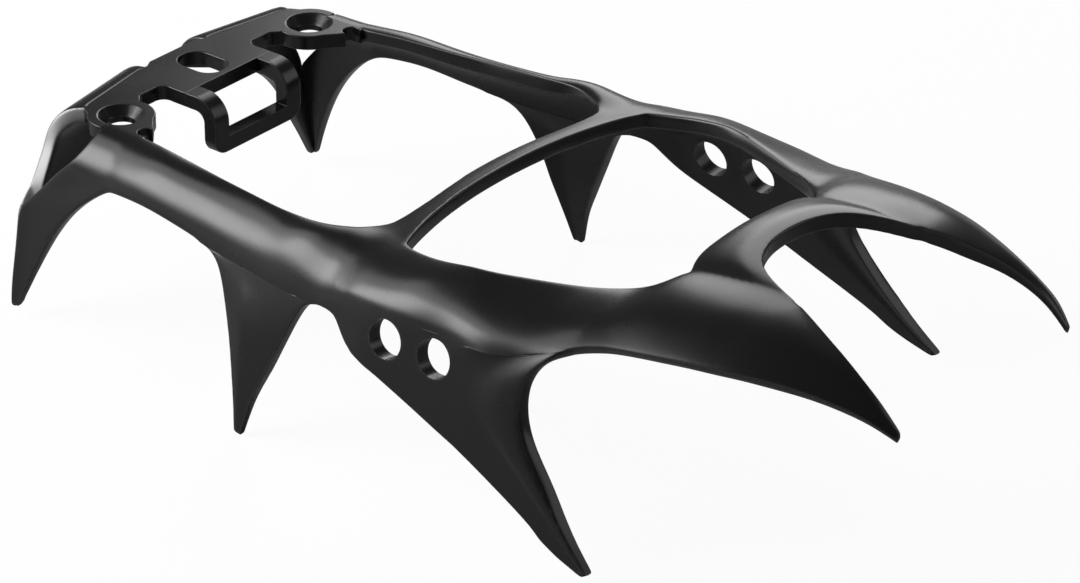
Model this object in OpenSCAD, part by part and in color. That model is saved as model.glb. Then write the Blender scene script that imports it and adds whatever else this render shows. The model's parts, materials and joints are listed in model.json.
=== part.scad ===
// Front section of a mountaineering crampon, pressed from one steel sheet.
// X points forward to the front points, Z up. The origin lies on the top of
// the rear plate, midway between its two countersunk screw holes.

/* [Overall size] */
// Length from the plate to the tips of the front points
frame_length = 178; // [160:1:200]
// Width over the outside of the rails at the bail holes
frame_width = 95.6; // [88:0.2:104]
// Depth from the top of the plate to the tips of the side points
point_depth = 41; // [36:0.5:46]
// Thickness of the steel
steel = 3; // [2.4:0.1:3.6]
// Thickness left at the tip of each point
tip_steel = 1.4; // [1:0.1:2]

/* [Rear plate] */
// Distance between the two screw holes
screw_spacing = 52.2; // [50:0.2:54]
// Diameter of the screw holes
screw_hole_d = 5.3; // [4.3:0.1:5.8]
// Diameter of the countersinks at the top face
countersink_d = 8.9; // [7.6:0.1:9.6]
// Length of the slotted centre hole
centre_hole_length = 10.4; // [8:0.1:12]
// Width of the slotted centre hole
centre_hole_width = 6.8; // [5:0.1:8]

/* [Link loop] */
// Width of the slot for the linking bar
link_slot_width = 16; // [14:0.5:18]
// Width of the two arms of the loop
link_arm = 3.9; // [3:0.1:5]
// Height of the cross piece that closes the loop
link_bar = 3.2; // [2.6:0.1:4]
// Drop of the loop below the top of the plate
link_drop = 11.2; // [10:0.1:14]
// Outer bend radius of the loop
link_bend = 5; // [4:0.1:6]

/* [Bail holes] */
// Diameter of the holes for the toe bail
bail_hole_d = 7.4; // [6:0.1:8]
// Distance between the two holes on each side
bail_hole_pitch = 11.2; // [9.6:0.1:12]

/* [Hidden] */
$fn = 64;
plate_front = 3.0;                    // edge of the plate in front of the centre hole
plate_back = -11.7;                   // rear edge between the two flanges
plate_side = screw_spacing / 2 + 4.2; // the rails start here
side_y = 30.3;                        // the same place in the tables of this file
lobe_end = 1;                         // the round lobes of the plate end and the rear points start here
corner_x = 8;                         // the rear points end and the rails start here
rail_split = 66;                      // the rear rails end and the front rails start here
fork_x = 121;                         // the front rails end and the front points start here
flange_bend = 8;                      // outer bend radius of the rear flanges
flange_in = 8;                        // the inner ends of the rear flanges
flange_out = 28.6;                    // their outer ends at the top
wall_lean = 0.15;                     // how far the points lean outwards per mm of depth

long = (frame_length - corner_x) / (178 - corner_x);
wide = (frame_width / 2 - plate_side) / (47.8 - side_y);

// Places along the frame and across it follow the driving sizes.
function along(x) = x <= corner_x ? x : corner_x + (x - corner_x) * long;
function across(y) = y <= side_y ? y * plate_side / side_y : plate_side + (y - side_y) * wide;
function down(z) = z >= -8 ? z : -8 + (z + 8) * (point_depth - 8) / 33;

// The section of the frame at stations along it. Each one gives the inner
// edge (y, z), the foot of the outer wall (y, z), the slope of the wall
// there in degrees from upright, and how far the crest rises.
STATIONS = [
    [-16, 30.3, 0, 38.0, -8.6, 8, 0],
    [-5, 30.3, 0, 38.5, -8.7, 8, 0],
    [8, 30.3, 0, 39.2, -8.7, 8, 0.4],
    [10, 30.3, 0, 39.5, -8.2, 8, 0.8],
    [18, 31.4, 0.2, 40.4, -7.7, 8, 1.2],
    [30, 33.1, 0.2, 41.4, -8.7, 8, 0],
    [42, 34.9, 0.4, 43.0, -9.8, 8, -1.2],
    [50, 35.7, 0.4, 44.1, -10.1, 8, -0.6],
    [57, 35.8, 0.5, 45.0, -10.0, 8, 2.2],
    [62, 34.4, 0.6, 45.4, -9.8, 8, 3.2],
    [66, 32.6, 0.9, 45.7, -9.5, 8, 2.6],
    [71, 31.8, 1.3, 46.0, -7.0, 9, 0.6],
    [76, 33.2, 1.6, 46.5, -5.4, 10, 0],
    [80, 34.9, 1.9, 46.8, -5.1, 10, -0.6],
    [88, 36.0, 2.9, 47.1, -5.0, 10, 0],
    [96, 35.6, 4.0, 46.7, -5.0, 10, -2],
    [104, 33.1, 4.0, 47.1, -5.0, 12, -2.6],
    [112, 30.0, 4.0, 45.6, -4.0, 22, -2.2],
    [118, 27.2, 4.2, 43.8, -2.0, 38, -0.8],
    [121, 25.2, 4.4, 42.6, -0.6, 46, 0.6],
    [124.4, 22.4, 5.1, 41.2, 0.4, 50, 0.8],
    [128, 18.0, 7.0, 40.2, 1.0, 50, 0.8],
    [136, 18.0, 8.3, 39.0, 1.8, 50, 0.6],
    [144, 17.9, 8.9, 37.5, 2.2, 50, 0.4],
    [150, 17.5, 8.8, 36.0, 2.2, 50, 0.4],
    [155, 19.1, 8.0, 34.4, 2.0, 52, 0.4],
    [160, 20.8, 6.5, 32.6, 1.5, 54, 0.4],
    [165, 22.4, 4.9, 30.9, 0.6, 54, 0.4],
    [170, 23.6, 2.4, 29.2, -0.7, 56, 0.3],
    [174, 24.1, -0.3, 27.8, -2.2, 58, 0.2],
    [178, 24.3, -4.2, 25.7, -5.0, 60, 0]
];

// Outlines of the points seen from the side, as (x, z), rear edge and front edge.
THIRD_REAR = [[33, -9], [36.6, -9.5], [39.6, -11.2], [41.9, -14.8], [44, -20.5],
    [45.4, -26.2], [46.7, -32.4], [48.2, -40.2]];
THIRD_FRONT = [[66, -9.5], [62.9, -10.8], [60.6, -14.2], [58.4, -18.8], [56.2, -23.5],
    [53.9, -28.5], [51.6, -33.6], [49.8, -40.4]];
SECOND_REAR = [[66, -9.5], [69.5, -9.4], [71.8, -11.2], [74, -13.4], [77.4, -15.6], [88, -19.1],
    [99, -23], [109, -27.2], [119.6, -32.1], [122.4, -34.4], [131.8, -37.6]];
SECOND_FRONT = [[121, -1], [117.6, -3.4], [115.4, -6.6], [114.4, -10.4], [115, -14.8], [117, -19],
    [120.1, -23], [123.3, -27], [126.1, -30.4], [129.2, -33.6], [132.9, -36.9]];
REAR_FRONT = [[8, -8.7], [5.2, -10.6], [1.2, -13.8], [-2.8, -18.2], [-6.2, -23.2],
    [-8.8, -28.2], [-11, -33], [-13.2, -38.4]];

// A smooth value between stations: cubic between keys, with slopes taken
// from the neighbours.
function slope(k, i, c) =
    i == 0 ? (k[1][c] - k[0][c]) / (k[1][0] - k[0][0]) :
    i == len(k) - 1 ? (k[i][c] - k[i - 1][c]) / (k[i][0] - k[i - 1][0]) :
    let (a = (k[i][c] - k[i - 1][c]) / (k[i][0] - k[i - 1][0]),
         b = (k[i + 1][c] - k[i][c]) / (k[i + 1][0] - k[i][0]))
    a * b <= 0 ? 0 : 2 * a * b / (a + b);
function find(k, x, i = 0) = i >= len(k) - 2 || x < k[i + 1][0] ? i : find(k, x, i + 1);
function at(k, x, c) =
    let (i = find(k, x), h = k[i + 1][0] - k[i][0], t = (x - k[i][0]) / h,
         t2 = t * t, t3 = t2 * t)
    (2 * t3 - 3 * t2 + 1) * k[i][c] + (t3 - 2 * t2 + t) * h * slope(k, i, c)
    + (3 * t2 - 2 * t3) * k[i + 1][c] + (t3 - t2) * h * slope(k, i + 1, c);
function mix(a, b, t) = a + (b - a) * t;

// A point along an outline given as a list, t from 0 to 1.
function keyed(list) = [for (i = [0:len(list) - 1]) [i, list[i][0], list[i][1]]];
function walk(list, t) = let (k = keyed(list), s = t * (len(list) - 1)) [at(k, s, 1), at(k, s, 2)];

// The steel gets thinner towards the tips.
function thin_x(x) = x < 158 ? steel : mix(steel, tip_steel, min(1, (x - 158) / 20));
function thin_z(z) = z > -26 ? steel : mix(steel, tip_steel, min(1, (-26 - z) / 13));

// Section of the frame at x: s = 0 at the inner edge, s = 1 at the foot of
// the wall. The pair holds the outer point and the one below it, in (y, z).
function section(x, s) =
    let (in = [at(STATIONS, x, 1), at(STATIONS, x, 2)],
         foot = [at(STATIONS, x, 3), at(STATIONS, x, 4)],
         lean = at(STATIONS, x, 5), rise = at(STATIONS, x, 6),
         p1 = in + [0.52 * (foot[0] - in[0]), rise],
         p2 = foot + 0.55 * (in[1] - foot[1]) * [-sin(lean) / cos(lean) * 0.9, 1],
         q = 1 - s,
         p = q * q * q * in + 3 * q * q * s * p1 + 3 * q * s * s * p2 + s * s * s * foot,
         d = q * q * (p1 - in) + 2 * q * s * (p2 - p1) + s * s * (foot - p2),
         n = [d[1], -d[0]] / norm(d))
    [p, p + thin_x(x) * n];
function skin(x, s, under) = let (p = section(x, s)[under]) [along(x), across(p[0]), down(p[1])];

// A point on the wall below its foot at station x0: depth z at place x.
function plane_y(x, z) = mix(38.5, 47.8, min(1, max(0, (x + 12) / 90))) + wall_lean * (-9.5 - z);
function wall(x0, x, z, under) =
    let (foot = [at(STATIONS, x0, 3), at(STATIONS, x0, 4)],
         gap = plane_y(x0, foot[1]) - foot[0],
         y = plane_y(x, z) - gap * exp(-(foot[1] - z) / 4),
         fade = min(1, max(0, (foot[1] - z) / 4)),
         top = section(x0, 1)[1] - foot,
         side = [-thin_z(z), 0],
         off = under == 0 ? [0, 0] : mix(top, side, fade))
    [along(x), across(y + off[0]), down(z + off[1])];

// Solid between an outer grid of points and the inner one below it.
module sheet(outer, inner) {
    rows = len(outer);
    cols = len(outer[0]);
    half = rows * cols;
    points = [for (grid = [outer, inner]) for (row = grid) for (p = row) p];
    quads = concat(
        [for (i = [0:rows - 2]) for (j = [0:cols - 2])
            [i * cols + j, i * cols + j + 1, (i + 1) * cols + j + 1, (i + 1) * cols + j]],
        [for (i = [0:rows - 2]) for (j = [0:cols - 2])
            [half + (i + 1) * cols + j, half + (i + 1) * cols + j + 1,
             half + i * cols + j + 1, half + i * cols + j]],
        [for (j = [0:cols - 2])
            [j + 1, j, half + j, half + j + 1]],
        [for (j = [0:cols - 2]) let (b = (rows - 1) * cols)
            [b + j, b + j + 1, half + b + j + 1, half + b + j]],
        [for (i = [0:rows - 2])
            [i * cols, (i + 1) * cols, half + (i + 1) * cols, half + i * cols]],
        [for (i = [0:rows - 2]) let (b = cols - 1)
            [(i + 1) * cols + b, i * cols + b, half + i * cols + b, half + (i + 1) * cols + b]]);
    triangles = [for (q = quads) each [[q[0], q[1], q[2]], [q[0], q[2], q[3]]]];
    polyhedron(points, triangles);
}

// The left pieces are drawn and the right ones are their mirror images.
module side(which) {
    mirror([0, which == "right" ? 1 : 0, 0])
        children();
}

section_steps = 8;
S = [for (i = [0:section_steps]) i / section_steps];

module rail(xs) {
    sheet([for (x = xs) [for (s = S) skin(x, s, 0)]],
          [for (x = xs) [for (s = S) skin(x, s, 1)]]);
}

// A rib pressed outwards along a point, as [start, crest, end] across its
// width, its height as a share of the width, and the most that it rises.
THIRD_RIB = [0, 12 / 33, 1, 0.07, 1.2];
SECOND_RIB = [40 / 55, 47 / 55, 1, 0.03, 0.9];
function rib(form, w, width, depth) =
    let (up = (w - form[0]) / (form[1] - form[0]), down = (form[2] - w) / (form[2] - form[1]))
    max(0, min(up, down)) * min(form[4], form[3] * width) * min(1, max(0, (depth - 1.5) / 7));

// A point below the rail, between its rear and front outlines.
module down_point(rear, front, xs, rows, form) {
    first = xs[0];
    span = xs[len(xs) - 1] - first;
    function grid(under) = [for (i = [0:rows])
        let (a = walk(rear, i / rows), b = walk(front, i / rows))
        [for (x0 = xs) let (w = (x0 - first) / span,
            p = i == 0 ? [x0, at(STATIONS, x0, 4)] : mix(a, b, w))
            wall(x0, p[0], p[1], under) + [0, rib(form, w, b[0] - a[0], at(STATIONS, x0, 4) - p[1]), 0]]];
    sheet(grid(1), grid(0));
}

rear_rail_x = concat([8, 10], [for (x = [12:3:57]) x], [60, 62, 64, 66]);
front_rail_x = concat([for (x = [66:1:75]) x], [77, 79], [for (x = [82:3:121]) x]);
front_point_x = concat([121, 122.5, 124, 125.5, 127], [for (x = [128:2:152]) x],
                       [for (x = [155:3:170]) x], [172, 174, 176, 178]);

module rear_rail(which) {
    color("#2b2c2e") side(which) rail(rear_rail_x);
}
module front_rail(which) {
    color("#303133") side(which) rail(front_rail_x);
}
module front_point(which) {
    color("#262729") side(which) rail(front_point_x);
}
module third_point(which) {
    color("#3a3b3d") side(which)
        down_point(THIRD_REAR, THIRD_FRONT, [for (x = rear_rail_x) if (x >= 33) x], 14, THIRD_RIB);
}

// Each second point carries two holes for the bail.
bail_x = 89.4;
bail_z = -9.4;
module second_point(which) {
    color("#3a3b3d") side(which) difference() {
        down_point(SECOND_REAR, SECOND_FRONT, front_rail_x, 15, SECOND_RIB);
        for (k = [-0.5, 0.5])
            translate([along(bail_x) + k * bail_hole_pitch, frame_width / 2, down(bail_z)])
                rotate([atan(wall_lean) - 90, 0, 0])
                    cylinder(d = bail_hole_d, h = 20, center = true);
    }
}

// The ridge of a rear point, where its side wall meets the rear flange.
RIDGE = [[-14.7, -18.8], [-14.8, -23.2], [-14.9, -28.2], [-15, -33], [-14.8, -38.4]];
relief_rows = 3;
SIDE_REAR = concat([[-5, -8.7], [-8, -12], [-11.6, -16]], RIDGE);
function ridge(i, under) =
    let (x = RIDGE[i][0], z = RIDGE[i][1], t = under * thin_z(z))
    [x + t, across(plane_y(x, z) - t), down(z)];

rear_cols = 6;
module rear_point(which) {
    function wall_row(i, under) = [for (j = [0:rear_cols])
        let (p = mix(SIDE_REAR[i], REAR_FRONT[i], j / rear_cols))
        j == 0 && i >= relief_rows ? ridge(i - relief_rows, under)
                                   : wall(corner_x, p[0], p[1], under)];
    function bend_row(s, under) = [for (j = [0:rear_cols])
        skin(mix(lobe_end - 6 * pow(s, 3), corner_x, j / rear_cols), s, under)];
    function grid(under) = concat([for (s = S) bend_row(s, under)],
        [for (i = [1:len(SIDE_REAR) - 1]) wall_row(i, under)]);
    color("#343537") side(which) sheet(grid(1), grid(0));
}

// The rear edge of the plate bends down into a flange on each side, which
// runs out along the ridge of the rear point.
FLANGE_EDGE = [[8, 32.6, -8], [13.5, 33.4, -9.5], [20, 34.7, -11.8], [26.5, 36.4, -15]];
FLANGE_LOW = [30, 33, 35.2, 38.2, 40.8];
bend_steps = 6;
flange_cols = 8;
function fold_x(y) = -10.7 + (y - flange_in) * 3.8 / (side_y - flange_in);
module rear_flange(which) {
    function bend_row(a, under) = [for (j = [0:flange_cols])
        let (y = mix(flange_in, mix(flange_out, FLANGE_EDGE[0][1], a / 90), j / flange_cols),
             r = flange_bend - under * steel)
        [fold_x(y) - r * sin(a), across(y), -flange_bend + r * cos(a)]];
    function flat_row(i, under) = let (e = FLANGE_EDGE[i]) [for (j = [0:flange_cols])
        let (y = mix(e[0], e[1], j / flange_cols),
             x = mix(fold_x(y) - flange_bend, RIDGE[0][0], (-8 - e[2]) / 10))
        [x + under * steel, across(y), down(e[2])]];
    function ridge_row(i, under) = let (o = ridge(i, 0), z = RIDGE[i][1]) [for (j = [0:flange_cols])
        let (y = mix(FLANGE_LOW[i], plane_y(RIDGE[i][0], z), j / flange_cols))
        j == flange_cols ? ridge(i, under)
                         : [RIDGE[i][0] + under * thin_z(z), across(y), down(z)]];
    function grid(under) = concat([for (k = [0:bend_steps]) bend_row(90 * k / bend_steps, under)],
        [for (i = [1:len(FLANGE_EDGE) - 1]) flat_row(i, under)],
        [for (i = [0:len(RIDGE) - 1]) ridge_row(i, under)]);
    color("#2f3032") mirror([0, which == "right" ? 1 : 0, 0]) sheet(grid(1), grid(0));
}

// Flat rear plate with two countersunk screw holes and a slotted hole.
loop_out = link_slot_width / 2 + link_arm;
lobe_r = 6.4;
lobe_y = screw_spacing / 2;
module slab(outline) {
    linear_extrude(steel) polygon(outline);
}
module hole(x, y, r) {
    translate([x, y, -1]) cylinder(r = r, h = steel + 2);
}
module plate_half() {
    difference() {
        union() {
            difference() {
                slab([[plate_back, -1], [plate_back, across(6.2)], [fold_x(flange_in), across(flange_in)],
                      [fold_x(flange_out), across(flange_out)],
                      [-4, plate_side], [10, plate_side], [10, -1]]);
                hole(-1, loop_out + 1.95, 2);
                hole(-1.2, lobe_y - 8.9, 1.8);
                translate([0, 0, -1]) linear_extrude(steel + 2)
                    polygon([[-0.8, loop_out], [12, loop_out], [12, lobe_y + 2.8], [0, lobe_y - 4.1],
                             [-2.95, lobe_y - 8.9], [-2.95, loop_out + 2]]);
                translate([plate_front, -2, -1]) cube([10, loop_out + 2, steel + 2]);
            }
            translate([0, lobe_y, 0]) cylinder(r = lobe_r, h = steel);
            translate([0, lobe_y, 0])
                slab([[0, 2.9], [3.8, -4.9], [8.6, 0.5], [9.4, 2.5], [10, 4.2], [0, 4.2]]);
        }
        hole(8.7, lobe_y + 2.4, 1.6);
        translate([lobe_end - 0.1, plate_side, -1]) cube([4, 4, steel + 2]);
    }
}
module rear_plate() {
    cone = (countersink_d - screw_hole_d) / 2;
    color("#454648") difference() {
        translate([0, 0, -steel]) {
            plate_half();
            mirror([0, 1, 0]) plate_half();
        }
        for (y = [-0.5, 0.5] * screw_spacing) translate([0, y, 0]) {
            translate([0, 0, -2 * steel]) cylinder(d = screw_hole_d, h = 3 * steel);
            translate([0, 0, -cone]) cylinder(d1 = screw_hole_d, d2 = countersink_d, h = cone);
            cylinder(d = countersink_d, h = 1);
        }
        reach = (centre_hole_length - centre_hole_width) / 2;
        for (x = [-reach, reach])
            translate([x - 3.7, 0, -2 * steel]) cylinder(d = centre_hole_width, h = 3 * steel);
        translate([-3.7 - reach, -centre_hole_width / 2, -2 * steel])
            cube([2 * reach, centre_hole_width, 3 * steel]);
    }
}

// Loop bent down from the front of the plate, with the slot for the bar.
bend_x = 5.5;
corner_r = 3;
module loop_profile() {
    translate([plate_front, -steel]) square([bend_x - plate_front, steel]);
    intersection() {
        translate([bend_x, -link_bend]) difference() {
            circle(r = link_bend);
            circle(r = link_bend - steel);
        }
        translate([bend_x, -link_bend]) square(link_bend);
    }
    translate([bend_x + link_bend - steel, -link_drop]) square([steel, link_drop - link_bend]);
}
module loop_outline() {
    translate([-loop_out, corner_r - link_drop]) square([2 * loop_out, link_drop]);
    translate([corner_r - loop_out, -link_drop - 1]) square([2 * (loop_out - corner_r), link_drop]);
    for (y = [-1, 1]) translate([y * (loop_out - corner_r), corner_r - link_drop]) circle(r = corner_r);
}
module link_loop() {
    color("#3d3e40") difference() {
        intersection() {
            translate([0, loop_out, 0]) rotate([90, 0, 0]) linear_extrude(2 * loop_out) loop_profile();
            rotate([90, 0, 90]) linear_extrude(20) loop_outline();
        }
        translate([plate_front - 5, -link_slot_width / 2, -link_drop + link_bar])
            cube([20, link_slot_width, 20]);
    }
}

// A bar between the two rails. Its rear and front edges are given from the
// middle outwards as (x, y), and it ends on the inner edges of the rails.
BAR_REAR = [[67.5, 0], [67.7, 7], [68.2, 13], [68.9, 19], [69.4, 25], [69.1, 29], [66, 32.6]];
BAR_FRONT = [[71.7, 0], [71.9, 7], [72.4, 13], [73.2, 19], [74.4, 25], [75.8, 30.4], [77, 33.6]];
YOKE_REAR = [[125.8, 0], [125.9, 4], [126.1, 8], [126.4, 12], [127, 15], [127.5, 16.6], [128, 18]];
YOKE_FRONT = [[135.5, 0], [135.8, 4], [137, 8.2], [138.9, 11.6], [142, 14.2], [146, 16.1], [150, 17.5]];
module span(rear, front, xs, lift, cols) {
    last = len(xs) - 1;
    function end(i, under) = skin(xs[i], 0, under);
    function point(i, v, under) =
        let (w = (xs[i] - xs[0]) / (xs[last] - xs[0]), e = end(i, under), top = end(i, 0),
             p = mix(walk(rear, abs(v)), walk(front, abs(v)), w),
             q = mix(walk(rear, 1), walk(front, 1), w),
             k = pow(abs(v), 6),
             x = along(p[0]) + k * (top[0] - along(q[0])),
             y = p[1] * (top[1] - q[1]) / q[1] * k + p[1],
             off = mix([0, 0, -under * steel], e - top, k),
             z = top[2] + lift * (1 - v * v),
             side = v < 0 ? -1 : 1)
        [x + off[0], side * (y + off[1]), z + off[2]];
    function grid(under) = [for (i = [0:last]) [for (j = [-cols:cols]) point(i, j / cols, under)]];
    sheet(grid(0), grid(1));
}
module crossbar() {
    color("#2d2e30") span(BAR_REAR, BAR_FRONT, [for (x = front_rail_x) if (x <= 77) x], 0.9, 12);
}
module front_yoke() {
    color("#2d2e30")
        span(YOKE_REAR, YOKE_FRONT, [for (x = front_point_x) if (x >= 128 && x <= 150) x], 1.6, 12);
}

rear_plate();
link_loop();
crossbar();
front_yoke();
rear_flange("left");  // rear_flange_left
rear_flange("right");  // rear_flange_right
rear_point("left");  // rear_point_left
rear_point("right");  // rear_point_right
rear_rail("left");  // rear_rail_left
rear_rail("right");  // rear_rail_right
front_rail("left");  // front_rail_left
front_rail("right");  // front_rail_right
third_point("left");  // third_point_left
third_point("right");  // third_point_right
second_point("left");  // second_point_left
second_point("right");  // second_point_right
front_point("left");  // front_point_left
front_point("right");  // front_point_right
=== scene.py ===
"""Looks of a pressed steel crampon front section: one seamless black coated
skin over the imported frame, shared out into its named regions, and a pale
studio around it."""

import json
import math

import bmesh
import bpy
import numpy as np
from mathutils import Matrix, Vector
from mathutils.bvhtree import BVHTree
from bpy.props import FloatProperty, FloatVectorProperty, IntProperty, PointerProperty
from bpy.types import Operator, Panel, PropertyGroup

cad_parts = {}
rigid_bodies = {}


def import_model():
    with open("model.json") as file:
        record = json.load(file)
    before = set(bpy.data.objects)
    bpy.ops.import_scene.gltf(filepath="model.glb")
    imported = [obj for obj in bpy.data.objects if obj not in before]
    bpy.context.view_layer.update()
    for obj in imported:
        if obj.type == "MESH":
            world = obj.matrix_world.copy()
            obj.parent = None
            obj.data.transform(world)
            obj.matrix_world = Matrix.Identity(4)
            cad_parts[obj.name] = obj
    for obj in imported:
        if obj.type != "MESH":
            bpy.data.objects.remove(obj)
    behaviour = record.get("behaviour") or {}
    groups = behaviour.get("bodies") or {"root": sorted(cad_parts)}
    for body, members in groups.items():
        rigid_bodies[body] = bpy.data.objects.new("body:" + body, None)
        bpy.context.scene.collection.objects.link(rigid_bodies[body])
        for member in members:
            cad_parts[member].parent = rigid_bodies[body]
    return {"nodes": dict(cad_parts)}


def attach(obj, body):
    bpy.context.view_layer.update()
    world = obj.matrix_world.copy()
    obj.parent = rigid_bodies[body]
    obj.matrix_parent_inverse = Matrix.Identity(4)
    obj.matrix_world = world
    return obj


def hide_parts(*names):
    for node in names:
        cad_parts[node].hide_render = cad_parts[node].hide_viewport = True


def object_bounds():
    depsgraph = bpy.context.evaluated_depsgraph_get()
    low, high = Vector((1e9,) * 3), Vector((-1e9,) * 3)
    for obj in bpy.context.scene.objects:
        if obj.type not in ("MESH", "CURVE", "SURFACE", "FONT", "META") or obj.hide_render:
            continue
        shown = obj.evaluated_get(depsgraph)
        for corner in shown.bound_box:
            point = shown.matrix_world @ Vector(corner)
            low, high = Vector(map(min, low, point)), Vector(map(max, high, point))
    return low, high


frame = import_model()

bl_info = {
    "name": "Crampon front section",
    "version": (1, 0, 0),
    "blender": (4, 5, 0),
    "location": "3D View > Sidebar > Crampon",
    "description": "Coated steel skin and studio for a crampon front section",
    "category": "Object",
}

CAD_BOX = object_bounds()
BODY = "root"
COAT = "black_coat_on_steel"
REGION = "region_"
FLAT_NODES = ("rear_plate", "link_loop")

# Vertices closer than this are one: inside a solid, and across two of them
DOUBLES = 2e-6
WELD = 5e-6

# Two faces meet when they lie this near and their normals oppose each other
TOUCH = 0.0003
OPPOSED = -0.9

# The four bail bores in metres: the middle and the axis of each
BORES = [
    ((x, side * 0.0463, -0.0096), (0, side * 0.98894, 0.14834))
    for x in (0.0838, 0.095)
    for side in (1, -1)
]
BORE_RADIUS = 0.0037
BORE_REACH = 0.006
RIM_SLACK = 0.00006

# What softening leaves alone: a ring around each bore, the seam between the
# plate and the rails, and the sheet behind the plate
BORE_RING = 0.0006
SEAM_INSET = 0.0022
SEAM_WIDTH = 0.001
SEAM_END = 0.012
SEAM_DEPTH = 0.004
REAR_STRIP = 0.0005

# How far the held places reach into the faces around them
HOLD_GAIN = 1.5
HOLD_RINGS = 2
HOLD_FADE = 0.6
SOFT_LEVELS = 10

# Curvature per metre at which an edge starts to stand out, and does so fully; the second pair sets
# where the coat gets its painted edge highlight
HELD_CURVES = (550, 1000)
EDGE_HIGHLIGHT_CURVES = (300, 1200)

# Faces of a flat part share their normals while the cosine of the turn between
# them is above these: from a strip, from a face, and where neither finds any
STRIP_LOOK = math.cos(math.radians(70))
FACE_LOOK = math.cos(math.radians(35))
LOOSE_LOOK = 0.3

# Edges of the finished skin that turn more than this are shaded sharp
SHARP_TURN = math.radians(45)

# The flat sides of the plate, and the gaps in their rims that may be merged
FLAT_SLACK = 1e-5
RIM_REACHES = (0, 0.0001, 0.0002, 0.0003)

# What a cap pays for lying along the skin, against its plain area
LYING_COST = 10

# A flange is bare where its normal looks outwards by more than the start, and
# fully so where it does by the span more
BARE_START = 0.35
BARE_SPAN = 0.2

# Change of the coat's roughness over the sheet, to either side
GLOSS_CHANGE = 0.03

# The studio, in metres and watts; a lamp has a name, a place, a size and a power
FLOOR_SIZE = 6
FLOOR_GAP = 0.0003
FLOOR_GLOW = 1.1
GLOW_SHARE = 0.85
AIR_LIGHT = 0.13
LIT_POINT = Vector((0.08, 0, 0))
LAMPS = (
    ("left_soft_box", (-0.53, -0.55, 0.37), (0.42, 0.44), 4.8),
    ("left_sail", (-0.58, -0.5, 0.48), (0.95, 0.85), 7.6),
    ("back_soft_box", (-0.31, 0.6, 0.38), (0.32, 0.6), 1.9),
    ("front_soft_box", (0.6, 0.5, 0.28), (0.5, 0.45), 0.9),
)
CAMERA_RIGHT = 0.06119
CAMERA_DOWN = 0.04245


# Settings


class CramponSkin(PropertyGroup):
    """How the edges and bends of the steel are rounded."""

    edge_share: FloatProperty(
        name="Edge rounding",
        description="Share of the sheet's thickness that the rounding of its cut edges takes",
        default=12, min=2, max=40, subtype="PERCENTAGE",
    )
    plate_edge: FloatProperty(
        name="Plate edge",
        description="Rounding of the edges of the plate and the loop",
        default=0.00025, min=0, max=0.001, unit="LENGTH",
    )
    soften_passes: IntProperty(
        name="Softening",
        description="Passes that even out the pressed faces between the cut edges",
        default=20, min=0, max=60,
    )
    crease_angle: FloatProperty(
        name="Cut edge angle",
        description="Edges of the sheet sharper than this stay crisp when its bends are rounded",
        default=math.radians(38), subtype="ANGLE",
    )


class CramponCoat(PropertyGroup):
    """The black coat on the steel."""

    colour: FloatVectorProperty(
        name="Coat colour",
        description="Colour of the black coat",
        default=(0.006, 0.006, 0.0068), subtype="COLOR", size=3, min=0, max=1,
    )
    # Painted highlight: a lighter coat colour along the cut edges, standing in for the thin glints
    # of light that the rounded edges catch.
    edge_colour: FloatVectorProperty(
        name="Painted edge highlight",
        description="Painted highlight: a lighter colour of the coat along the cut edges",
        default=(0.03, 0.03, 0.032), subtype="COLOR", size=3, min=0, max=1,
    )
    bare_colour: FloatVectorProperty(
        name="Bare steel",
        description="Colour of the ground steel at the ends of the rear flanges",
        default=(0.24, 0.24, 0.24), subtype="COLOR", size=3, min=0, max=1,
    )
    bare_roughness: FloatProperty(
        name="Bare steel roughness",
        description="Roughness of the ground steel",
        default=0.55, min=0, max=1,
    )
    roughness: FloatProperty(
        name="Coat roughness",
        description="Roughness of the coat on the pressed faces",
        default=0.27, min=0, max=1,
    )
    peel: FloatProperty(
        name="Orange peel",
        description="Height of the coat's fine waves",
        default=0.000012, unit="LENGTH",
    )


class CramponStudio(PropertyGroup):
    """Floor and camera."""

    floor_colour: FloatVectorProperty(
        name="Floor colour",
        description="Colour of the floor",
        default=(0.4, 0.4, 0.4), subtype="COLOR", size=3, min=0, max=1,
    )
    camera_distance: FloatProperty(
        name="Camera distance",
        description="Distance of the camera from the frame's origin, along its line of sight",
        default=0.98, unit="LENGTH",
    )
    camera_azimuth: FloatProperty(
        name="Camera azimuth",
        description="Turn of the camera from the frame's front towards its right side",
        default=math.radians(50.33), subtype="ANGLE",
    )
    camera_elevation: FloatProperty(
        name="Camera elevation",
        description="Angle of the camera's line of sight below the level",
        default=math.radians(28.11), subtype="ANGLE",
    )
    lens: FloatProperty(
        name="Lens",
        description="Focal length of the camera, in mm",
        default=172.53,
    )


def settings():
    """The three groups of settings, as the scene holds them."""
    scene = bpy.context.scene
    return scene.crampon_skin, scene.crampon_coat, scene.crampon_studio


# Materials


def new_group(name, inputs, outputs):
    """An empty shader node group with its sockets."""
    group = bpy.data.node_groups.new(name, "ShaderNodeTree")
    for socket, kind, value in inputs:
        made = group.interface.new_socket(socket, in_out="INPUT", socket_type=kind)
        if value is not None:
            made.default_value = value
    for socket, kind in outputs:
        group.interface.new_socket(socket, in_out="OUTPUT", socket_type=kind)
    start = group.nodes.new("NodeGroupInput")
    end = group.nodes.new("NodeGroupOutput")
    return group, start, end


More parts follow.
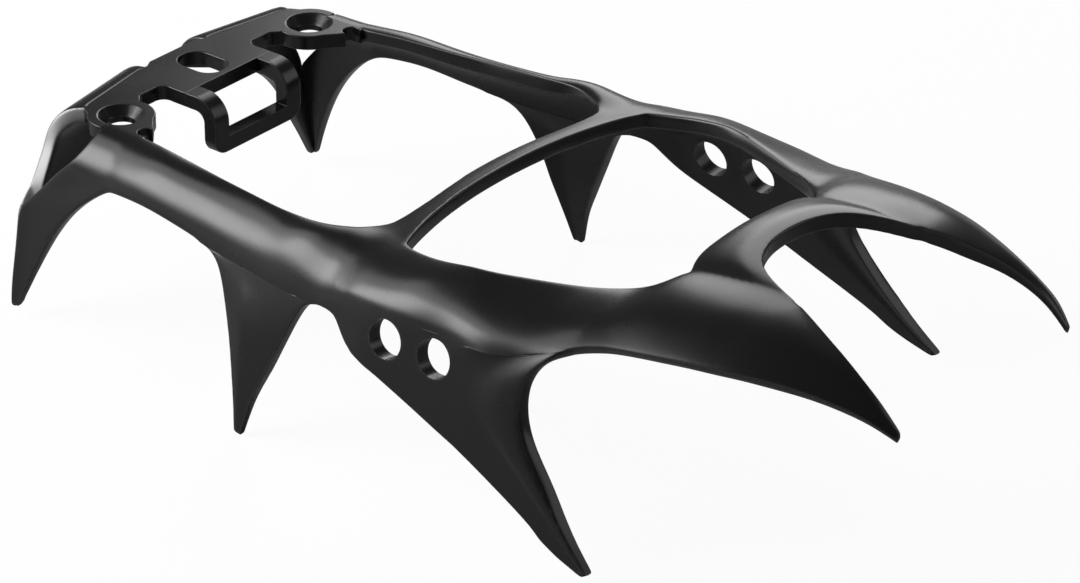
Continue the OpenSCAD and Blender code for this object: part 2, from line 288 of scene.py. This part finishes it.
def coat_waves():
    """Height of the fine waves that a baked coat has."""
    group, start, end = new_group(
        "Coat waves",
        [("Position", "NodeSocketVector", None), ("Size", "NodeSocketFloat", 900.0)],
        [("Height", "NodeSocketFloat")],
    )
    fine = group.nodes.new("ShaderNodeTexNoise")
    fine.inputs["Detail"].default_value = 2.0
    fine.inputs["Roughness"].default_value = 0.45
    group.links.new(start.outputs["Position"], fine.inputs["Vector"])
    group.links.new(start.outputs["Size"], fine.inputs["Scale"])
    group.links.new(fine.outputs["Fac"], end.inputs["Height"])
    return group


def coat_sheen():
    """Slow changes of the coat's gloss over the sheet, from 0 to 1."""
    group, start, end = new_group(
        "Coat sheen",
        [("Position", "NodeSocketVector", None), ("Size", "NodeSocketFloat", 45.0)],
        [("Mask", "NodeSocketFloat")],
    )
    cloud = group.nodes.new("ShaderNodeTexNoise")
    cloud.inputs["Detail"].default_value = 5.0
    ramp = group.nodes.new("ShaderNodeMapRange")
    ramp.inputs["From Min"].default_value = 0.35
    ramp.inputs["From Max"].default_value = 0.65
    group.links.new(start.outputs["Position"], cloud.inputs["Vector"])
    group.links.new(start.outputs["Size"], cloud.inputs["Scale"])
    group.links.new(cloud.outputs["Fac"], ramp.inputs["Value"])
    group.links.new(ramp.outputs["Result"], end.inputs["Mask"])
    return group


def black_coat():
    """Baked black coat: dark and half gloss, with a painted highlight: a lighter colour along the
    edges.
    """
    coat = settings()[1]
    material = bpy.data.materials.new(COAT)
    material.use_nodes = True
    nodes, links = material.node_tree.nodes, material.node_tree.links
    shader = nodes["Principled BSDF"]
    shader.inputs["IOR"].default_value = 1.42
    place = nodes.new("ShaderNodeTexCoord")
    edge = nodes.new("ShaderNodeAttribute")
    edge.attribute_name = "edge"
    bare = nodes.new("ShaderNodeAttribute")
    bare.attribute_name = "bare"
    sheen = nodes.new("ShaderNodeGroup")
    sheen.node_tree = coat_sheen()
    waves = nodes.new("ShaderNodeGroup")
    waves.node_tree = coat_waves()
    # Painted highlight: the edge attribute mixes the lighter edge colour into the coat along the
    # cut edges.
    colour = nodes.new("ShaderNodeMix")
    colour.data_type = "RGBA"
    colour.inputs["A"].default_value = (*coat.colour, 1)
    colour.inputs["B"].default_value = (*coat.edge_colour, 1)
    ground = nodes.new("ShaderNodeMix")
    ground.data_type = "RGBA"
    ground.inputs["B"].default_value = (*coat.bare_colour, 1)
    rough = nodes.new("ShaderNodeMapRange")
    rough.inputs["To Min"].default_value = coat.roughness - GLOSS_CHANGE
    rough.inputs["To Max"].default_value = coat.roughness + GLOSS_CHANGE
    satin = nodes.new("ShaderNodeMix")
    satin.inputs["B"].default_value = coat.bare_roughness
    bump = nodes.new("ShaderNodeBump")
    bump.inputs["Distance"].default_value = coat.peel
    bump.inputs["Strength"].default_value = 0.5
    links.new(place.outputs["Object"], sheen.inputs["Position"])
    links.new(place.outputs["Object"], waves.inputs["Position"])
    links.new(edge.outputs["Fac"], colour.inputs["Factor"])
    links.new(colour.outputs["Result"], ground.inputs["A"])
    links.new(bare.outputs["Fac"], ground.inputs["Factor"])
    links.new(ground.outputs["Result"], shader.inputs["Base Color"])
    links.new(bare.outputs["Fac"], shader.inputs["Metallic"])
    links.new(sheen.outputs["Mask"], rough.inputs["Value"])
    links.new(rough.outputs["Result"], satin.inputs["A"])
    links.new(bare.outputs["Fac"], satin.inputs["Factor"])
    links.new(satin.outputs["Result"], shader.inputs["Roughness"])
    links.new(waves.outputs["Height"], bump.inputs["Height"])
    links.new(bump.outputs["Normal"], shader.inputs["Normal"])
    return material


# The sheet


def only(obj):
    """Selects one object and makes it active."""
    if bpy.context.object and bpy.context.object.mode != "OBJECT":
        bpy.ops.object.mode_set(mode="OBJECT")
    bpy.ops.object.select_all(action="DESELECT")
    obj.hide_set(False)
    obj.select_set(True)
    bpy.context.view_layer.objects.active = obj


def apply_modifier(obj, kind, **values):
    """Adds a modifier with these values and applies it."""
    only(obj)
    modifier = obj.modifiers.new(kind.lower(), kind)
    for name, value in values.items():
        setattr(modifier, name, value)
    bpy.ops.object.modifier_apply(modifier=modifier.name)


def read(items, name, width, kind=float):
    """A numpy table of one property of a mesh's parts."""
    values = np.empty(len(items) * width, kind)
    items.foreach_get(name, values)
    return values.reshape(-1, width) if width > 1 else values


def unit(vectors):
    """The same vectors with a length of one, or of nothing where they had none."""
    return vectors / np.maximum(np.linalg.norm(vectors, axis=-1, keepdims=True), 1e-12)


def copy_of(node):
    """A merged copy of a CAD node's mesh, on an object of its own."""
    source = frame["nodes"][node]
    obj = bpy.data.objects.new("raw_" + node, source.data.copy())
    bpy.context.scene.collection.objects.link(obj)
    obj.data.materials.clear()
    obj.data.materials.append(bpy.data.materials.new(REGION + node))
    only(obj)
    bpy.ops.object.mode_set(mode="EDIT")
    bpy.ops.mesh.select_all(action="SELECT")
    bpy.ops.mesh.remove_doubles(threshold=DOUBLES)
    bpy.ops.mesh.customdata_custom_splitnormals_clear()
    bpy.ops.object.mode_set(mode="OBJECT")
    obj.data.polygons.foreach_set("use_smooth", np.ones(len(obj.data.polygons), bool))
    return obj


def meeting_faces(obj, others):
    """Which faces of a piece lie against one of the other nodes."""
    trees = []
    for node in others:
        mesh = frame["nodes"][node].data
        points = [v.co for v in mesh.vertices]
        faces = [tuple(face.vertices) for face in mesh.polygons]
        trees.append(BVHTree.FromPolygons(points, faces))
    touching = np.zeros(len(obj.data.polygons), bool)
    for face in obj.data.polygons:
        for tree in trees:
            place, normal = tree.find_nearest(face.center, TOUCH)[:2]
            if place is not None and normal.dot(face.normal) < OPPOSED:
                touching[face.index] = True
    return touching


def drop_inner_faces(obj):
    """Takes out the faces on which two regions of the sheet meet."""
    mesh = obj.data
    around = [set() for _ in mesh.vertices]
    for face in mesh.polygons:
        for v in face.vertices:
            around[v].add(face.material_index)
    inner = []
    for face in mesh.polygons:
        shared = set.intersection(*(around[v] for v in face.vertices))
        inner.append(len(shared) > 1)
    only(obj)
    bpy.context.tool_settings.mesh_select_mode = (False, False, True)
    for part in (mesh.vertices, mesh.edges):
        part.foreach_set("select", np.zeros(len(part), bool))
    mesh.polygons.foreach_set("select", inner)
    bpy.ops.object.mode_set(mode="EDIT")
    bpy.ops.mesh.delete(type="FACE")
    bpy.ops.mesh.select_all(action="SELECT")
    bpy.ops.mesh.tris_convert_to_quads(
        face_threshold=math.radians(35), shape_threshold=math.radians(120), materials=True
    )
    bpy.ops.mesh.select_mode(type="VERT")
    bpy.ops.object.mode_set(mode="OBJECT")


def join_islands(mesh):
    """Gives every small patch that lies apart from its region to the region
    around it, so that each region stays in one piece."""
    region = read(mesh.polygons, "material_index", 1, int)
    beside = {}
    for face in mesh.polygons:
        for edge in face.edge_keys:
            beside.setdefault(edge, []).append(face.index)
    near = [[] for _ in mesh.polygons]
    for pair in beside.values():
        for first in pair:
            near[first] += [second for second in pair if second != first]
    patch = [-1] * len(near)
    patches = []
    for start in range(len(near)):
        if patch[start] >= 0:
            continue
        members, ahead = [], [start]
        patch[start] = len(patches)
        while ahead:
            here = ahead.pop()
            members.append(here)
            for other in near[here]:
                if patch[other] < 0 and region[other] == region[here]:
                    patch[other] = len(patches)
                    ahead.append(other)
        patches.append(members)
    largest = {}
    for members in patches:
        number = region[members[0]]
        largest[number] = max(largest.get(number, 0), len(members))
    for members in patches:
        if len(members) < largest[region[members[0]]]:
            around = [region[o] for m in members for o in near[m] if region[o] != region[m]]
            region[members] = max(sorted(set(around)), key=around.count)
    mesh.polygons.foreach_set("material_index", region)


def flat_normals(mesh, strip):
    """Normals for a flat part: its flat and round faces keep their own, and the
    narrow strips along its edges run from one to the next."""
    around = [[] for _ in mesh.vertices]
    for face in mesh.polygons:
        for v in face.vertices:
            around[v].append(face.index)
    normal = read(mesh.polygons, "normal", 3)
    weight = read(mesh.polygons, "area", 1)
    corners = []
    for face in mesh.polygons:
        own = normal[face.index]
        limit = STRIP_LOOK if strip[face.index] else FACE_LOOK
        for v in face.vertices:
            near = [f for f in around[v] if not strip[f] and normal[f] @ own > limit]
            near = near or [f for f in around[v] if normal[f] @ own > LOOSE_LOOK]
            total = (normal[near] * weight[near][:, None]).sum(axis=0)
            corners.append(tuple(unit(total)))
    mesh.polygons.foreach_set("use_smooth", np.ones(len(mesh.polygons), bool))
    mesh.normals_split_custom_set(corners)


def refill_flats(mesh):
    """Fills the flat top and underside of a part anew inside their rounded
    edges, so that the rounding leaves no sliver turned over. Points of the
    rim that lie closer than the reach are merged where it doesn't close
    without, and a side that still wouldn't close keeps the faces it has."""
    heights = [v.co.z for v in mesh.vertices]
    for level, outward in ((max(heights), 1), (min(heights), -1)):
        for reach in RIM_REACHES:
            shape = bmesh.new()
            shape.from_mesh(mesh)
            flat = {v for v in shape.verts if abs(v.co.z - level) < FLAT_SLACK}
            doomed = [face for face in shape.faces if flat.issuperset(face.verts)]
            bmesh.ops.delete(shape, geom=doomed, context="FACES")
            rim = [v for v in shape.verts if v.is_boundary]
            bmesh.ops.remove_doubles(shape, verts=rim, dist=reach)
            rim = [edge for edge in shape.edges if edge.is_boundary]
            made = bmesh.ops.triangle_fill(
                shape, use_beauty=True, use_dissolve=False, edges=rim, normal=(0, 0, outward)
            )
            faces = [item for item in made["geom"] if isinstance(item, bmesh.types.BMFace)]
            for face in faces:
                face.normal_update()
                face.material_index = 0
            turned = [face for face in faces if face.normal.z * outward < 0]
            bmesh.ops.reverse_faces(shape, faces=turned)
            closed = all(len(edge.link_faces) == 2 for edge in shape.edges)
            if closed:
                shape.to_mesh(mesh)
            shape.free()
            if closed:
                break
    mesh.update()


def mark_edges(obj, angle, held):
    """Gives the cut edges a bevel weight. Edges at a held face, or at the rim
    of a bore, get a crease instead, so that they stay where they are."""
    mesh = obj.data
    sides = {}
    for face in mesh.polygons:
        for edge in face.edge_keys:
            sides.setdefault(edge, []).append(face.index)
    bores = [(Vector(middle), Vector(axis)) for middle, axis in BORES]
    rim = np.zeros(len(mesh.vertices), bool)
    for v in mesh.vertices:
        for middle, axis in bores:
            away = v.co - middle
            along = away.dot(axis)
            gap = (away - axis * along).length
            if abs(along) < BORE_REACH and abs(gap - BORE_RADIUS) < RIM_SLACK:
                rim[v.index] = True
    weight = np.zeros(len(mesh.edges), np.float32)
    crease = np.zeros(len(mesh.edges), np.float32)
    for edge in mesh.edges:
        faces = sides[edge.key]
        if len(faces) != 2:
            continue
        first, second = (mesh.polygons[f] for f in faces)
        if first.normal.angle(second.normal, 0) < angle:
            continue
        if held[faces].any() or rim[list(edge.vertices)].all():
            crease[edge.index] = 1
        else:
            weight[edge.index] = 1
    for name, values in (("bevel_weight_edge", weight), ("crease_edge", crease)):
        if name not in mesh.attributes:
            mesh.attributes.new(name, "FLOAT", "EDGE")
        mesh.attributes[name].data.foreach_set("value", values)


def edge_mask(mesh, start, full):
    """Writes how sharply each vertex stands out, from 0 at the start curvature
    to 1 at the full one (per metre), to the attribute from which the coat paints a lighter edge
    highlight."""
    count = len(mesh.vertices)
    place = read(mesh.vertices, "co", 3)
    normal = read(mesh.vertices, "normal", 3)
    pairs = read(mesh.edges, "vertices", 2, int)
    a, b = pairs[:, 0], pairs[:, 1]
    step = place[b] - place[a]
    length = np.maximum(np.linalg.norm(step, axis=1), 1e-6)
    turn = np.einsum("ij,ij->i", normal[b] - normal[a], step) / length ** 2
    share = np.maximum(np.bincount(a, minlength=count) + np.bincount(b, minlength=count), 1)
    value = (np.bincount(a, turn, count) + np.bincount(b, turn, count)) / share
    value = np.clip((value - start) / (full - start), 0, 1)
    attribute = mesh.attributes.get("edge") or mesh.attributes.new("edge", "FLOAT", "POINT")
    attribute.data.foreach_set("value", value.astype(np.float32))


def soften(obj, passes):
    """Evens out the pressed faces between the cut edges. The bores, the seam
    at the plate and the sheet behind the plate stay as they are."""
    mesh = obj.data
    edge_mask(mesh, *HELD_CURVES)
    sharp = read(mesh.attributes["edge"].data, "value", 1)
    pairs = read(mesh.edges, "vertices", 2, int)
    a, b = pairs[:, 0], pairs[:, 1]
    held = np.clip(sharp * HOLD_GAIN, 0, 1)
    place = read(mesh.vertices, "co", 3)
    x, y, z = place.T
    plate = read(frame["nodes"]["rear_plate"].data.vertices, "co", 3)
    seam = np.abs(plate[:, 1]).max() - SEAM_INSET
    at_seam = (x < SEAM_END) & (np.abs(np.abs(y) - seam) < SEAM_WIDTH) & (z > -SEAM_DEPTH)
    behind = x < plate[:, 0].min() + REAR_STRIP
    held[at_seam | behind] = 1
    for middle, axis in BORES:
        away = place - np.array(middle)
        along = away @ np.array(axis)
        gap = np.sqrt(np.maximum((away ** 2).sum(1) - along ** 2, 0))
        held[(gap < BORE_RADIUS + BORE_RING) & (np.abs(along) < BORE_REACH)] = 1
    for _ in range(HOLD_RINGS):
        np.maximum.at(held, a, held[b] * HOLD_FADE)
        np.maximum.at(held, b, held[a] * HOLD_FADE)
    group = obj.vertex_groups.new(name="soft")
    for level in range(1, SOFT_LEVELS + 1):
        chosen = np.flatnonzero(np.round((1 - held) * SOFT_LEVELS) == level)
        group.add(chosen.tolist(), level / SOFT_LEVELS, "REPLACE")
    apply_modifier(obj, "SMOOTH", factor=0.5, iterations=passes, vertex_group="soft")


def least_cap(points, normals):
    """Triangles of least area that close a loop of points. A triangle that
    would lie along the skin costs more, so the cap runs through the sheet."""
    count = len(points)
    cost = np.zeros((count, count))
    pick = np.zeros((count, count), int)
    for gap in range(2, count):
        i = np.arange(count - gap)[:, None]
        k = i + np.arange(1, gap)[None, :]
        cross = np.cross(points[k] - points[i], points[i + gap] - points[i])
        lying = np.abs(np.einsum("ijk,ijk->ij", cross, normals[k]))
        area = np.linalg.norm(cross, axis=2)
        total = cost[i, k] + cost[k, i + gap] + area + LYING_COST * lying
        best = total.argmin(axis=1)
        rows = np.arange(count - gap)
        cost[rows, rows + gap] = total[rows, best]
        pick[rows, rows + gap] = k[rows, best]
    triangles, spans = [], [(0, count - 1)]
    while spans:
        i, j = spans.pop()
        if j - i > 1:
            k = int(pick[i, j])
            triangles.append((i, k, j))
            spans += [(i, k), (k, j)]
    return triangles


def close_region(mesh):
    """Closes a region of the sheet where it was parted from its neighbours,
    and keeps the whole sheet's normals, so that no seam shows."""
    uses = {}
    for face in mesh.polygons:
        corners = list(face.vertices)
        for a, b in zip(corners, corners[1:] + corners[:1]):
            uses.setdefault(frozenset((a, b)), []).append((a, b))
    follow = {}
    for ways in uses.values():
        if len(ways) == 1:
            a, b = ways[0]
            follow.setdefault(b, []).append(a)
    place = read(mesh.vertices, "co", 3)
    normal = read(mesh.attributes["whole_normal"].data, "vector", 3)
    outward = np.zeros_like(place)
    np.add.at(outward, read(mesh.loops, "vertex_index", 1, int), normal)
    outward = unit(outward)
    shape = bmesh.new()
    shape.from_mesh(mesh)
    shape.verts.ensure_lookup_table()
    kept = len(mesh.polygons)
    while follow:
        start = min(follow)
        loop = [start]
        while True:
            ahead = follow[loop[-1]].pop()
            if not follow[loop[-1]]:
                del follow[loop[-1]]
            if ahead == start:
                break
            loop.append(ahead)
        for triangle in least_cap(place[loop], outward[loop]):
            corners = [shape.verts[loop[i]] for i in triangle]
            if len(set(corners)) == 3 and not shape.faces.get(corners):
                shape.faces.new(corners)
    shape.to_mesh(mesh)
    shape.free()
    mesh.update()
    caps = [tuple(face.normal) for face in mesh.polygons[kept:] for _ in face.loop_indices]
    mesh.attributes.remove(mesh.attributes["whole_normal"])
    mesh.polygons.foreach_set("material_index", np.zeros(len(mesh.polygons), np.int32))
    mesh.normals_split_custom_set([tuple(n) for n in normal] + caps)


def bare_ends(mesh, ground):
    """Marks the ground end faces of a rear flange, which carry no coat."""
    bare = np.zeros(len(mesh.vertices), np.float32)
    if ground:
        normal = read(mesh.vertices, "normal", 3)
        outward = normal[:, 1] * np.sign(read(mesh.vertices, "co", 3)[:, 1])
        bare = np.clip((outward - BARE_START) / BARE_SPAN, 0, 1).astype(np.float32)
    mesh.attributes.new("bare", "FLOAT", "POINT").data.foreach_set("value", bare)


def finish_piece(obj, name, node):
    """Names a piece, coats it, ties it to its body and hides the CAD node that it stands for."""
    obj.name = obj.data.name = name
    coat = bpy.data.materials.get(COAT) or black_coat()
    obj.data.materials.clear()
    obj.data.materials.append(coat)
    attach(obj, BODY)
    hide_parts(node)


class CRAMPON_OT_sheet(Operator):
    """Weld the sheet's regions into one skin, round its bends and share it out again"""

    bl_idname = "crampon.sheet"
    bl_label = "Press the sheet"

    def execute(self, context):
        skin = settings()[0]
        copies = [copy_of(node) for node in sorted(frame["nodes"]) if node not in FLAT_NODES]
        bpy.ops.object.select_all(action="DESELECT")
        for obj in copies:
            obj.select_set(True)
        context.view_layer.objects.active = copies[0]
        bpy.ops.object.join()
        whole = context.object
        whole.name = "whole_skin"
        bpy.ops.object.mode_set(mode="EDIT")
        bpy.ops.mesh.select_all(action="SELECT")
        bpy.ops.mesh.remove_doubles(threshold=WELD)
        bpy.ops.object.mode_set(mode="OBJECT")
        drop_inner_faces(whole)
        mark_edges(whole, skin.crease_angle, meeting_faces(whole, ("rear_plate",)))
        apply_modifier(
            whole, "BEVEL", limit_method="WEIGHT", offset_type="PERCENT", width_pct=skin.edge_share,
            segments=1, use_clamp_overlap=False, material=-1,
        )
        join_islands(whole.data)
        apply_modifier(whole, "SUBSURF", levels=2, render_levels=2)
        soften(whole, skin.soften_passes)
        mesh = whole.data
        # Painted highlight: sharply curved edges of the sheet get the coat's lighter edge colour.
        edge_mask(mesh, *EDGE_HIGHLIGHT_CURVES)
        only(whole)
        bpy.ops.object.mode_set(mode="EDIT")
        bpy.ops.mesh.select_mode(type="EDGE")
        bpy.ops.mesh.select_all(action="DESELECT")
        bpy.ops.mesh.edges_select_sharp(sharpness=SHARP_TURN)
        bpy.ops.mesh.mark_sharp()
        bpy.ops.mesh.select_mode(type="VERT")
        bpy.ops.object.mode_set(mode="OBJECT")
        corner = read(mesh.corner_normals, "vector", 3)
        mesh.attributes.new("whole_normal", "FLOAT_VECTOR", "CORNER")
        mesh.attributes["whole_normal"].data.foreach_set("vector", corner.ravel())
        bpy.ops.object.mode_set(mode="EDIT")
        bpy.ops.mesh.select_all(action="SELECT")
        bpy.ops.mesh.separate(type="MATERIAL")
        bpy.ops.object.mode_set(mode="OBJECT")
        for piece in [o for o in context.scene.objects if o.name.startswith("whole_skin")]:
            mesh = piece.data
            region = mesh.materials[mesh.polygons[0].material_index].name
            node = region.removeprefix(REGION)
            close_region(mesh)
            bare_ends(mesh, node.startswith("rear_flange"))
            finish_piece(piece, "steel_" + node, node)
        return {"FINISHED"}


class CRAMPON_OT_flat_parts(Operator):
    """Break the edges of the flat rear plate and of the link loop"""

    bl_idname = "crampon.flat_parts"
    bl_label = "Press the plate and the loop"

    def execute(self, context):
        skin = settings()[0]
        for node in FLAT_NODES:
            obj = copy_of(node)
            others = [other for other in frame["nodes"] if other != node]
            mark_edges(obj, skin.crease_angle, meeting_faces(obj, others))
            obj.data.materials.append(bpy.data.materials.new("edge_" + node))
            apply_modifier(
                obj, "BEVEL", limit_method="WEIGHT", width=skin.plate_edge, segments=2,
                use_clamp_overlap=False, material=1,
            )
            mesh = obj.data
            if node == "rear_plate":
                refill_flats(mesh)
            # Painted highlight: the rounded edge strips of the plate and the loop get the coat's
            # lighter edge colour.
            on_strip = np.ones(len(mesh.vertices), np.float32)
            for face in mesh.polygons:
                if face.material_index == 0:
                    on_strip[list(face.vertices)] = 0
            mesh.attributes.new("edge", "FLOAT", "POINT").data.foreach_set("value", on_strip)
            flat_normals(mesh, read(mesh.polygons, "material_index", 1, int) == 1)
            mesh.polygons.foreach_set("material_index", np.zeros(len(mesh.polygons), np.int32))
            finish_piece(obj, "steel_" + node, node)
        return {"FINISHED"}


# The studio


def soft_box(name, place, size, power):
    """A soft lamp of this size that faces the middle of the part."""
    data = bpy.data.lights.new(name, "AREA")
    data.shape = "RECTANGLE"
    data.size, data.size_y = size
    data.energy = power
    lamp = bpy.data.objects.new(name, data)
    lamp.location = place
    lamp.rotation_euler = (LIT_POINT - Vector(place)).to_track_quat("-Z", "Y").to_euler()
    bpy.context.scene.collection.objects.link(lamp)


def floor_paint(colour):
    """A matt paint in this colour, which the camera sees as nearly white."""
    paint = bpy.data.materials.new("floor_paint")
    paint.use_nodes = True
    nodes, links = paint.node_tree.nodes, paint.node_tree.links
    shader = nodes["Principled BSDF"]
    shader.inputs["Base Color"].default_value = (*colour, 1)
    shader.inputs["Roughness"].default_value = 0.9
    shader.inputs["Specular IOR Level"].default_value = 0.1
    glow = nodes.new("ShaderNodeEmission")
    glow.inputs["Color"].default_value = (1, 1, 1, 1)
    glow.inputs["Strength"].default_value = FLOOR_GLOW
    path = nodes.new("ShaderNodeLightPath")
    share = nodes.new("ShaderNodeMath")
    share.operation = "MULTIPLY"
    share.inputs[1].default_value = GLOW_SHARE
    mix = nodes.new("ShaderNodeMixShader")
    links.new(path.outputs["Is Camera Ray"], share.inputs[0])
    links.new(share.outputs[0], mix.inputs["Fac"])
    links.new(shader.outputs["BSDF"], mix.inputs[1])
    links.new(glow.outputs["Emission"], mix.inputs[2])
    links.new(mix.outputs["Shader"], nodes["Material Output"].inputs["Surface"])
    return paint


def aim_camera(camera, studio):
    """Puts the camera where the photo was taken from."""
    turn, rise = studio.camera_azimuth, studio.camera_elevation
    level = math.cos(rise)
    back = Vector((math.cos(turn) * level, -math.sin(turn) * level, math.sin(rise)))
    right = Vector((math.sin(turn), math.cos(turn), 0))
    up = back.cross(right)
    camera.location = back * studio.camera_distance + right * CAMERA_RIGHT - up * CAMERA_DOWN
    camera.rotation_euler = Matrix((right, up, back)).transposed().to_euler()


class CRAMPON_OT_stage(Operator):
    """Set the floor, the lamps and the camera"""

    bl_idname = "crampon.stage"
    bl_label = "Set the studio"

    def execute(self, context):
        studio = settings()[2]
        scene = context.scene
        bottom = CAD_BOX[0][2]
        bpy.ops.object.select_all(action="DESELECT")
        bpy.ops.mesh.primitive_plane_add(size=FLOOR_SIZE, location=(0, 0, bottom - FLOOR_GAP))
        floor = context.object
        floor.name = "studio_floor"
        floor.data.materials.append(floor_paint(studio.floor_colour))

        world = bpy.data.worlds.new("studio_air")
        scene.world = world
        world.use_nodes = True
        air = world.node_tree.nodes["Background"]
        air.inputs["Color"].default_value = (1, 1, 1, 1)
        air.inputs["Strength"].default_value = AIR_LIGHT

        for lamp in LAMPS:
            soft_box(*lamp)

        lens = bpy.data.cameras.new("camera")
        lens.lens = studio.lens
        lens.sensor_width = 36
        lens.clip_start = 0.01
        camera = bpy.data.objects.new("camera", lens)
        scene.collection.objects.link(camera)
        aim_camera(camera, studio)
        scene.camera = camera
        scene.view_settings.view_transform = "Standard"
        return {"FINISHED"}


class CRAMPON_PT_panel(Panel):
    """Lists the settings and the steps"""

    bl_idname = "CRAMPON_PT_panel"
    bl_label = "Crampon front section"
    bl_space_type = "VIEW_3D"
    bl_region_type = "UI"
    bl_category = "Crampon"

    def draw(self, context):
        for group in settings():
            box = self.layout.box()
            for name in group.__annotations__:
                box.prop(group, name)
        for step in STEPS:
            self.layout.operator(step.bl_idname)


STEPS = (CRAMPON_OT_sheet, CRAMPON_OT_flat_parts, CRAMPON_OT_stage)
CLASSES = (CramponSkin, CramponCoat, CramponStudio) + STEPS + (CRAMPON_PT_panel,)


def register():
    """Makes the classes and the settings known."""
    for cls in CLASSES:
        bpy.utils.register_class(cls)
    bpy.types.Scene.crampon_skin = PointerProperty(type=CramponSkin)
    bpy.types.Scene.crampon_coat = PointerProperty(type=CramponCoat)
    bpy.types.Scene.crampon_studio = PointerProperty(type=CramponStudio)


def unregister():
    """Takes them out again."""
    del bpy.types.Scene.crampon_studio
    del bpy.types.Scene.crampon_coat
    del bpy.types.Scene.crampon_skin
    for cls in reversed(CLASSES):
        bpy.utils.unregister_class(cls)


def main():
    """Makes the skin and the studio."""
    register()
    bpy.ops.crampon.sheet()
    bpy.ops.crampon.flat_parts()
    bpy.ops.crampon.stage()


if __name__ == "__main__":
    main()
